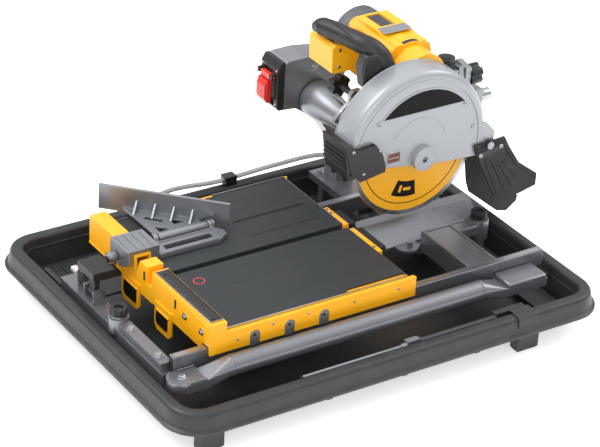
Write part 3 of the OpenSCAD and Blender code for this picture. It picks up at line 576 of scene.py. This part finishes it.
# ---------------------------------------------------------------- motor, covers and handle
def motor_details():
    centre = (0, *MOTOR_AT)
    my, mz = MOTOR_AT
    far, near = MOTOR_LO[0], MOTOR_HI[0]
    for name, lo, hi, r, mat in (("motor_far_band", far, far + 12, 50.9, FRAME_GREY),
                                 ("motor_band_line", far + 12, far + 13.5, 51.2, BLACK),
                                 ("motor_near_band", near - 10, near - 2, 50.7, BLACK)):
        ring_band(name, "x", centre, 49, r, lo, hi, mat, "head")
    vents = [sector(my, mz, 49.4, 50.8, a, a + 5, 3) for a in range(196, 330, 11)]
    for name, start in (("motor_vents_far", far + 20), ("motor_vents_near", far + 64)):
        prism(name, vents, "x", start, start + 36, BLACK, "head", 0.2)
    boxes("motor_window", [((-171, 229, 440), (-123, 257, 441.2))], BLACK, "head", 0.3)
    boxes("motor_window_bars", [((-171, y, 441), (-123, y + 1.8, 443)) for y in range(232, 256, 5)],
          FRAME_GREY, "head", 0.3)
    boxes("motor_silver_strip", [((-118, 216, MOTOR_HI[2] - 0.4), (-92, 274, MOTOR_HI[2] + 0.4))],
          STEEL, "head", 0.2)
    for k in range(6):
        fin = CAP_END + 13 + 5 * k
        ring_band(f"end_cap_fin_{k + 1}", "x", centre, 49, 51.6, fin, fin + 2, CAST, "head")
    face = CAP_END + 0.2
    spokes = [sector(my, mz, 18, 39, a - 2, a + 2, 2) for a in range(0, 360, 30)]
    prism("end_cap_spokes", spokes, "x", CAP_END - 1, face, CAST, "head", 0.2)
    ring_band("end_cap_ring", "x", centre, 38, 41, CAP_END - 1.4, face, CAST, "head")
    lathe("end_cap_hub", [(16, 0), (16, -1.6), (12, -2.4)], "x", [(face, my, mz)], BLACK, "head")
    cap_screws = [(CAP_END + 10, my + 45 * math.cos(a), mz + 45 * math.sin(a)) for a in (0.6, 2.5, 3.8, 5.6)]
    screws("end_cap_screws", "x", -1, cap_screws, 3, STEEL, "head", 2)
    screws("cover_screws", "x", 1, [(-98, 126, 398), (-98, 126, 430), (-98, 184, 424)], 3.6, STEEL, "head")
    boxes("cover_vents", [((-160, y, 439.6), (-110, y + 3, 440.8)) for y in range(120, 150, 7)],
          BLACK, "head", 0.3)
    case_x = corners("belt_housing")[1][0]
    screws("case_screws", "x", 1, [(case_x, 246, 424), (case_x, 214, 410), (case_x, 278, 404)],
           3.6, STEEL, "head")


def tapered(name, knots, mat, body):
    """A smooth round bar through knots of place and radius."""
    steps, sides = 8, 32
    path = smooth_route([Vector(k[:3]) for k in knots], steps)
    radii = [a[3] + (b[3] - a[3]) * k / steps for a, b in zip(knots, knots[1:]) for k in range(steps)]
    radii.append(knots[-1][3])
    turns = [2 * math.pi * k / sides for k in range(sides)]
    bm = bmesh.new()
    rings = []
    across = Vector((0.2, 0.3, 0.93))
    for i, (centre, r) in enumerate(zip(path, radii)):
        ahead = (path[min(i + 1, len(path) - 1)] - path[max(i - 1, 0)]).normalized()
        across = (across - ahead * across.dot(ahead)).normalized()
        other = ahead.cross(across)
        rings.append([bm.verts.new(centre + (across * math.cos(q) + other * math.sin(q)) * r) for q in turns])
    skin(bm, rings)
    return solid(name, bm, mat, body)


def handle_details():
    knots = [(-158, 110, 450, 6), (-154, 112, 455, 11), (-144, 116, 459, 16), (-120, 123, 460.5, 17),
             (-85, 131, 460.5, 17), (-55, 139, 459, 18), (-38, 150, 453, 19), (-29, 163, 438, 19.5),
             (-27, 174, 416, 19.5), (-27, 182, 392, 19), (-27, 184, 376, 18)]
    grip = tapered("handle_grip", knots, BLACK, "head")
    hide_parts("handle")
    web = [(124, 392), (118, 430), (126, 452), (150, 452), (178, 420), (186, 386), (176, 374), (150, 374)]
    web_x = -14
    prism("handle_web", [web], "x", web_x - 26, web_x, BLACK, "head", 4)
    panel = [(130, 398), (125, 430), (132, 444), (150, 440), (168, 412), (168, 394)]
    prism("handle_side_panel", [panel], "x", web_x - 0.4, web_x + 1.4, RUBBER, "head", 0.8)
    screws("handle_screws", "x", 1, [(web_x + 1, 138, 384), (web_x + 1, 166, 384)], 4, STEEL, "head")
    boxes("grip_seam", [((-140, 119, 476.4), (-60, 120, 477.2))], RUBBER, "head")


motor_details()
handle_details()


# ---------------------------------------------------------------- switch, column and knobs
def column_details():
    lo, hi = corners("switch_box")
    box_screws = [(x, 90, z) for z in (lo[2] + 12, hi[2] - 17) for x in (lo[0] + 6, hi[0] - 6)]
    screws("switch_box_screws", "y", -1, box_screws, 2.6, STEEL, "frame", 1.6)
    paddle_y = corners("switch_paddle")[0][1]
    boxes("paddle_ribs", [((-279, paddle_y - 0.6, z), (-250, paddle_y + 1.2, z + 2))
                          for z in (282, 288, 294, 300)], RED, "paddle", 0.4)
    column_lo, column_hi = corners("column")
    face = column_hi[0]
    hex_bolts("column_bolts", "x", 1, [(face, 168, 330), (face, 216, 330), (face, 254, 100)],
              5, STEEL, "frame")
    fairing = [(30, face + 1.4), (35, face + 4), (36, face + 13), (34, face + 31), (29, face + 59),
               (25, face + 89), (23.6, face + 113)]
    lathe("arm_fairing", fairing, "x", [PIVOT_AT], CAST, "arm", 48)
    py = PIVOT_AT[1]
    boxes("arm_fairing_ribs", [((-228, py - 2, z), (-130, py + 2, z + 3)) for z in (296, 238)],
          CAST, "arm", 1.2)
    ring_band("pivot_collar", "x", PIVOT_AT, PIVOT_R + 1, 20, face - 1, face + 0.8, STEEL, "frame")
    foot_bolts = [(x, y, column_lo[2]) for x in (-276, -150) for y in (218, 276)]
    hex_bolts("column_foot_bolts", "z", 1, foot_bolts, 6, STEEL, "frame")


def knob_caps():
    """Plain insets on the ends of the knobs, and ribs round the depth knob."""
    plunge_lo = corners("plunge_lock_knob")[0]
    knob_r = 20
    lathe("plunge_knob_cap", [(9, 0), (9, -1.5), (6, -2.5)], "x",
          [(plunge_lo[0], middle("plunge_lock_knob")[1], plunge_lo[2] + knob_r)], STEEL, "plunge_knob")
    lathe("bevel_knob_cap", [(8, 0), (8, 1.2), (5, 2)], "y",
          [(-22, corners("bevel_lock_knob")[1][1], middle("bevel_lock_knob")[2])], STEEL, "bevel_knob")
    x, y = middle("depth_knob")[:2]
    top = corners("depth_knob")[1][2]
    lathe("depth_knob_cap", [(10, 0), (10, 1), (7, 1.8)], "z", [(x, y, top)], RUBBER, "depth_screw")
    lathe("depth_knob_ribs", [(16.4, 0), (16.8, 1), (16.8, 13), (16.4, 14)], "z", [(x, y, top - 18.5)],
          RUBBER, "depth_screw", 14)


column_details()
knob_caps()


# ---------------------------------------------------------------- flaps
def flap_details():
    near = [(332, 254), (386, 258), (398, 240), (426, 200), (466, 168)]
    face = 51
    strand("flap_near_bead", [(face + 0.4, y, z) for y, z in near], 1.6, RUBBER, "flaps")
    screws("flap_screws", "x", 1, [(face, 340, 240), (face, 384, 250)], 4.6, STEEL, "flaps", 2.6)
    bar = [(334, 246), (388, 252), (392, 244), (338, 234)]
    prism("flap_clamp_bar", [bar], "x", face - 0.4, face + 1, BLACK, "flaps", 0.4)
    for k in range(4):
        upper, lower = (352 + 14 * k, 226 - 4 * k), (386 + 16 * k, 150 + 5 * k)
        strand(f"flap_rib_{k + 1}", [(face + 0.2, *upper), (face + 0.2, *lower)], 0.9, RUBBER, "flaps")


flap_details()


# ---------------------------------------------------------------- cart
def fence_details():
    tab_front, tab_back = FENCE_Y - 4.6, FENCE_Y - 2.6
    for name, x0, x1, z0, z1 in (("tab_frame_left", -68, -22, 79, 107), ("tab_frame_right", 44, 84, 79, 105)):
        boxes(name, [((x0 - 3, tab_front, z0 - 1), (x0 - 0.6, tab_back, z1 + 3)),
                     ((x1 + 0.6, tab_front, z0 - 1), (x1 + 3, tab_back, z1 + 3)),
                     ((x0 - 3, tab_front, z1 + 0.6), (x1 + 3, tab_back, z1 + 3))], YELLOW, "cart", 0.4)
    for name, x in (("fence_slot_left", -4), ("fence_slot_right", 100)):
        outline = arc(x, 150, 3.2, 0, 180, 10) + arc(x, 138, 3.2, 180, 360, 10)
        prism(name, [outline], "y", FENCE_Y - 0.15, FENCE_Y + 0.5, BLACK, "cart")
    boxes("fence_front_lip", [((-198, FENCE_Y - 1.2, 111), (-104, FENCE_Y + 0.2, 114)),
                              ((26, FENCE_Y - 1.2, 156), (213, FENCE_Y + 0.2, 158.6))], YELLOW, "cart", 0.5)
    hex_bolts("fence_front_bolts", "y", -1, [(132, FENCE_Y, 138), (186, FENCE_Y, 138)], 4.4, STEEL, "cart", 4)


def table_marks():
    wall_x = corners("cart_body")[1][0]
    wall_screws = [(wall_x, y, z) for y, z in ((-260, 124), (-192, 134), (-122, 134), (-30, 130), (60, 130))]
    screws("near_wall_screws", "x", 1, wall_screws, 2.6, STEEL, "cart", 1.6)
    ring_band("mat_ring_mark", "z", (57, -241, 0), 8.6, 10.4, MAT_TOP - 0.1, MAT_TOP + 0.25, RED, "cart", 40)
    boxes("mat_fine_lines", [((x, -276, MAT_TOP - 0.1), (x + 0.5, 78, MAT_TOP + 0.12))
                             for x in (-150, -120, 90, 160)], BLACK, "cart")


def fence_scale():
    ticks = []
    for k in range(34):
        x, length, top = 30 + 5 * k, 5.5 if k % 2 else 8.5, 165
        start = FENCE_Y + 6.5
        ticks.append(((x, start, top), (x + 0.5, start + length, top + 0.25)))
    boxes("fence_scale", ticks, FRAME_GREY, "cart")
    front, back, low, high = FENCE_Y + 4.4, corners("fence_strips")[1][1], 162.6, 165.5
    boxes("fence_strip_border", [((27, front, low), (205, front + 1, high)),
                                 ((26, front, low), (27.2, back, high)),
                                 ((204.8, front, low), (206, back, high))], STEEL, "cart", 0.2)


def table_edges():
    boxes("left_recess_bars", [((x, -86, MAT_TOP - 1.3), (x + 0.8, 58, MAT_TOP - 0.6)) for x in (-88, -34.8)],
          BLACK, "cart")
    edge_runs = ((-270, -150), (-70, 82))
    boxes("mat_far_edge", [((-190.3, y0, MAT_TOP - 1), (-183.8, y1, MAT_TOP + 0.3)) for y0, y1 in edge_runs],
          RUBBER, "cart", 0.3)
    boxes("mat_far_line", [((-190.4, y0, MAT_TOP - 1.1), (-189, y1, MAT_TOP + 0.6)) for y0, y1 in edge_runs],
          STEEL, "cart", 0.2)
    screws("rear_ledge_screws", "z", 1, [(x, 88, 143) for x in (-40, -54, 96)], 3.4, STEEL, "cart", 1.8)
    lo, hi = corners("rear_bumper")
    boxes("bumper_grooves", [((lo[0] + 2, lo[1] + y, 133.8), (hi[0] - 2, lo[1] + y + 1.6, 134.8))
                             for y in (2.5, 6.5, 10.5)], RUBBER, "cart", 0.3)


fence_details()
table_marks()
fence_scale()
table_edges()


# ---------------------------------------------------------------- edge guide
def guide_details():
    arm_top = 155
    boxes("guide_scale", [((-47, y, arm_top - 0.1), (-47 + (9 if k % 5 == 0 else 5), y + 0.5, arm_top + 0.2))
                          for k, y in enumerate(range(-256, -150, 4))], BLACK, "guide")
    clamp_top = corners("guide_clamp")[1][2]
    boxes("guide_clamp_ribs", [((-96, y, clamp_top - 0.2), (-46, y + 2, clamp_top + 1.4))
                               for y in (-318, -303, -288, -273)], CAST, "guide", 0.5)
    boxes("guide_arm_rails", [((-75.5, -262, arm_top - 0.2), (-72, -136, arm_top + 2.2)),
                              ((-40, -262, arm_top - 0.2), (-36.6, -146, arm_top + 2.2))], CAST, "guide", 0.6)
    rod_at = middle("guide_rod")
    for y in (-251.5, -134):
        ring_band(f"rod_collar_{int(-y)}", "y", rod_at, 4.2, 9.4, y, y + 2.2, STEEL, "guide")
    x, _, z = middle("guide_knob")
    lathe("guide_knob_cap", [(6.5, 0), (6.5, -1.2), (4, -2)], "y", [(x, corners("guide_knob")[0][1], z)],
          STEEL, "guide_screw")


def angle_plate_details():
    """Gussets and a top bead along the flip-over plate, which stands at a slant on the table."""
    slant = math.radians(44.2)
    along = Vector((math.cos(slant), math.sin(slant), 0))
    away = Vector((along.y, -along.x, 0))
    half_t = 2.5
    start = Vector((-243.6, -269, 0))
    foot = start + away * half_t
    low, high = Vector((0, 0, 156)), Vector((0, 0, 174))
    bm = bmesh.new()
    for s in (70, 104, 138, 172):
        sides = [foot + along * (s + w) for w in (-2, 2)]
        skin(bm, [[bm.verts.new(q) for q in (side + low, side + away * 24 + low, side + high)]
                  for side in sides])
    solid("angle_plate_gussets", bm, CAST, "angle_stop", 0.6)
    top = [start + along * s + Vector((0, 0, 194.4)) for s in (2, 236)]
    strand("angle_plate_edge", top, 0.8, CAST, "angle_stop")


guide_details()
angle_plate_details()


# ---------------------------------------------------------------- frame
def rail_details(side):
    """Plastic plugs in the ends of a rail, and the bright track that the rollers wear on its top."""
    node = f"{side}_rail"
    x = middle(node)[0]
    lo, hi = corners(node)
    plug_t = 1.6
    for end, y in (("rear", hi[1]), ("front", lo[1] - plug_t)):
        boxes(f"rail_plug_{side}_{end}", [((x - 6, y, lo[2] + 3), (x + 6, y + plug_t, hi[2] - 3))],
              BLACK, "frame", 0.5)
    boxes(f"rail_run_{side}", [((x - 5, lo[1] + 4, hi[2] - 0.1), (x + 5, hi[1] - 4, hi[2] + 0.25))],
          STEEL, "frame")


def frame_details():
    hex_bolts("rear_cross_bolts", "z", 1, [(-60, 340, 80), (10, 340, 80)], 6, STEEL, "frame")
    boxes("rear_cross_ribs", [((44, 229, 109.6), (192, 233, 112)), ((44, 286, 109.6), (192, 290, 112)),
                              ((44, 233, 109.6), (48, 286, 112)), ((40, 291, 107.6), (44, 332, 110)),
                              ((68, 291, 107.6), (72, 332, 110))], FRAME_GREY, "frame", 0.8)
    hex_bolts("front_cross_bolts", "z", 1, [(76, -381, 103), (168, -381, 103)], 6, STEEL, "frame")
    shoe_top = 94
    boxes("rear_shoe_block", [((209, 268, shoe_top - 0.4), (256, 349, shoe_top + 7))],
          FRAME_GREY, "frame", 2.5)
    boxes("front_shoe_rim", [((x0, -372, shoe_top - 0.4), (x1, -340, shoe_top + 3))
                             for x0, x1 in ((209, 212), (252, 255.6))], FRAME_GREY, "frame", 1.0)
    hex_bolts("shoe_bolt", "z", 1, [(230, -374, shoe_top)], 6, STEEL, "frame")
    rail_details("right")
    rail_details("left")
    lathe("post_cap_tops", [(7.4, 0), (7.4, 1), (5, 1.8)], "z", [(50, 350, 120), (36, -383, 120)],
          BLACK, "frame")
    tube_lo, tube_hi = corners("side_tube")
    for k, y in enumerate((tube_lo[1] + 2, tube_hi[1] - 2)):
        ring_band(f"tube_collar_{k + 1}", "y", middle("side_tube"), 16.9, 18.2, y, y + 3,
                  FRAME_GREY, "frame")


frame_details()


# ---------------------------------------------------------------- pan
def pan_details():
    half_w, half_l = corners("water_pan")[1][:2]
    r = 65
    floor = 27

    def loop(inset, z):
        """The pan's outline, set in from its outer edge."""
        x, y = half_w - r, half_l - r
        places = [arc(cx, cy, r - inset, a, a + 90, 12)
                  for cx, cy, a in ((x, y, 0), (-x, y, 90), (-x, -y, 180), (x, -y, 270))]
        return [(*at, z) for corner in places for at in corner]

    for name, inset, z, bead_r in (("pan_lip_bead", 1.4, 47, 1.3), ("pan_step_bead", 9.4, 66, 1.0),
                                   ("pan_inner_bead", 37.5, 62, 1.4), ("pan_top_line", 22, 79.6, 0.7)):
        strand(name, loop(inset, z), bead_r, CHARCOAL, "frame", closed=True)
    long_ribs = [((x, -340, floor - 0.2), (x + 5, 310, floor + 2.5)) for x in (-215, -150, 90, 150)]
    short_ribs = [((-270, y, floor - 0.2), (-226, y + 5, floor + 2.5))
                  for y in (-330, -290, -120, -60, 0, 60, 120)]
    boxes("pan_floor_ribs", long_ribs + short_ribs, CHARCOAL, "frame", 0.8)
    boxes("pan_white_fitting", [((-178, -360, 78), (-158, -348, 86))], WHITE, "frame", 1.5)
    boxes("pan_fitting_stem", [((-172, -358, floor), (-164, -350, 78.5))], BLACK, "frame", 0.8)
    catch = [(297, 80.6), (300, 83), (322, 83), (329.5, 77), (331, 62), (328.4, 62), (327, 71), (322, 78),
             (310, 80.4)]
    prism("pan_catch", [catch], "y", 236, 276, CHARCOAL, "frame", 0.8)
    lo, hi = corners("water_pump")
    boxes("pump_ribs", [((lo[0] + 1, y, 65.8), (hi[0] - 1, y + 2, 67.4))
                        for y in range(int(lo[1]) + 3, int(hi[1]) - 3, 7)], BLACK, "frame", 0.4)


pan_details()


# ---------------------------------------------------------------- studio
def add_world():
    """White surroundings, dim below the horizon and brighter towards the top."""
    world = bpy.data.worlds.new("studio")
    world.use_nodes = True
    tree = world.node_tree
    sky = tree.nodes["Background"]
    sky.inputs["Color"].default_value = (1, 1, 1, 1)
    coord = tree.nodes.new("ShaderNodeTexCoord")
    split = tree.nodes.new("ShaderNodeSeparateXYZ")
    climb = tree.nodes.new("ShaderNodeMapRange")
    for socket, value in (("From Min", -0.1), ("From Max", 0.85), ("To Min", 0.22), ("To Max", 1.35)):
        climb.inputs[socket].default_value = value
    tree.links.new(coord.outputs["Generated"], split.inputs[0])
    tree.links.new(split.outputs["Z"], climb.inputs["Value"])
    tree.links.new(climb.outputs[0], sky.inputs["Strength"])
    scene.world = world
    scene.view_settings.view_transform = "Standard"


def add_floor():
    """A pale sheet far wider than the saw."""
    half = 9.0
    square = [(-half, -half, 0), (half, -half, 0), (half, half, 0), (-half, half, 0)]
    mesh = bpy.data.meshes.new("floor")
    mesh.from_pydata(square, [], [(0, 1, 2, 3)])
    floor = bpy.data.objects.new("floor", mesh)
    floor.data.materials.append(paper("floor_pale", (238, 238, 237), 0.55))
    scene.collection.objects.link(floor)


def add_lamp(name, place_m, width, power):
    """A round lamp that faces the middle of the saw."""
    data = bpy.data.lights.new(name, "AREA")
    data.shape = "DISK"
    data.size = width
    data.energy = power
    lamp = bpy.data.objects.new(name, data)
    lamp.location = place_m
    facing = Vector((0, 0, 0.15)) - Vector(place_m)
    lamp.rotation_euler = facing.to_track_quat("-Z", "Y").to_euler()
    scene.collection.objects.link(lamp)


add_world()
add_floor()
add_lamp("key", (-1.2, -1.6, 3.2), 2.4, 70)
add_lamp("fill", (3.0, -1.6, 1.8), 2.4, 26)
add_lamp("rim", (0.4, 3.2, 2.6), 2.0, 36)
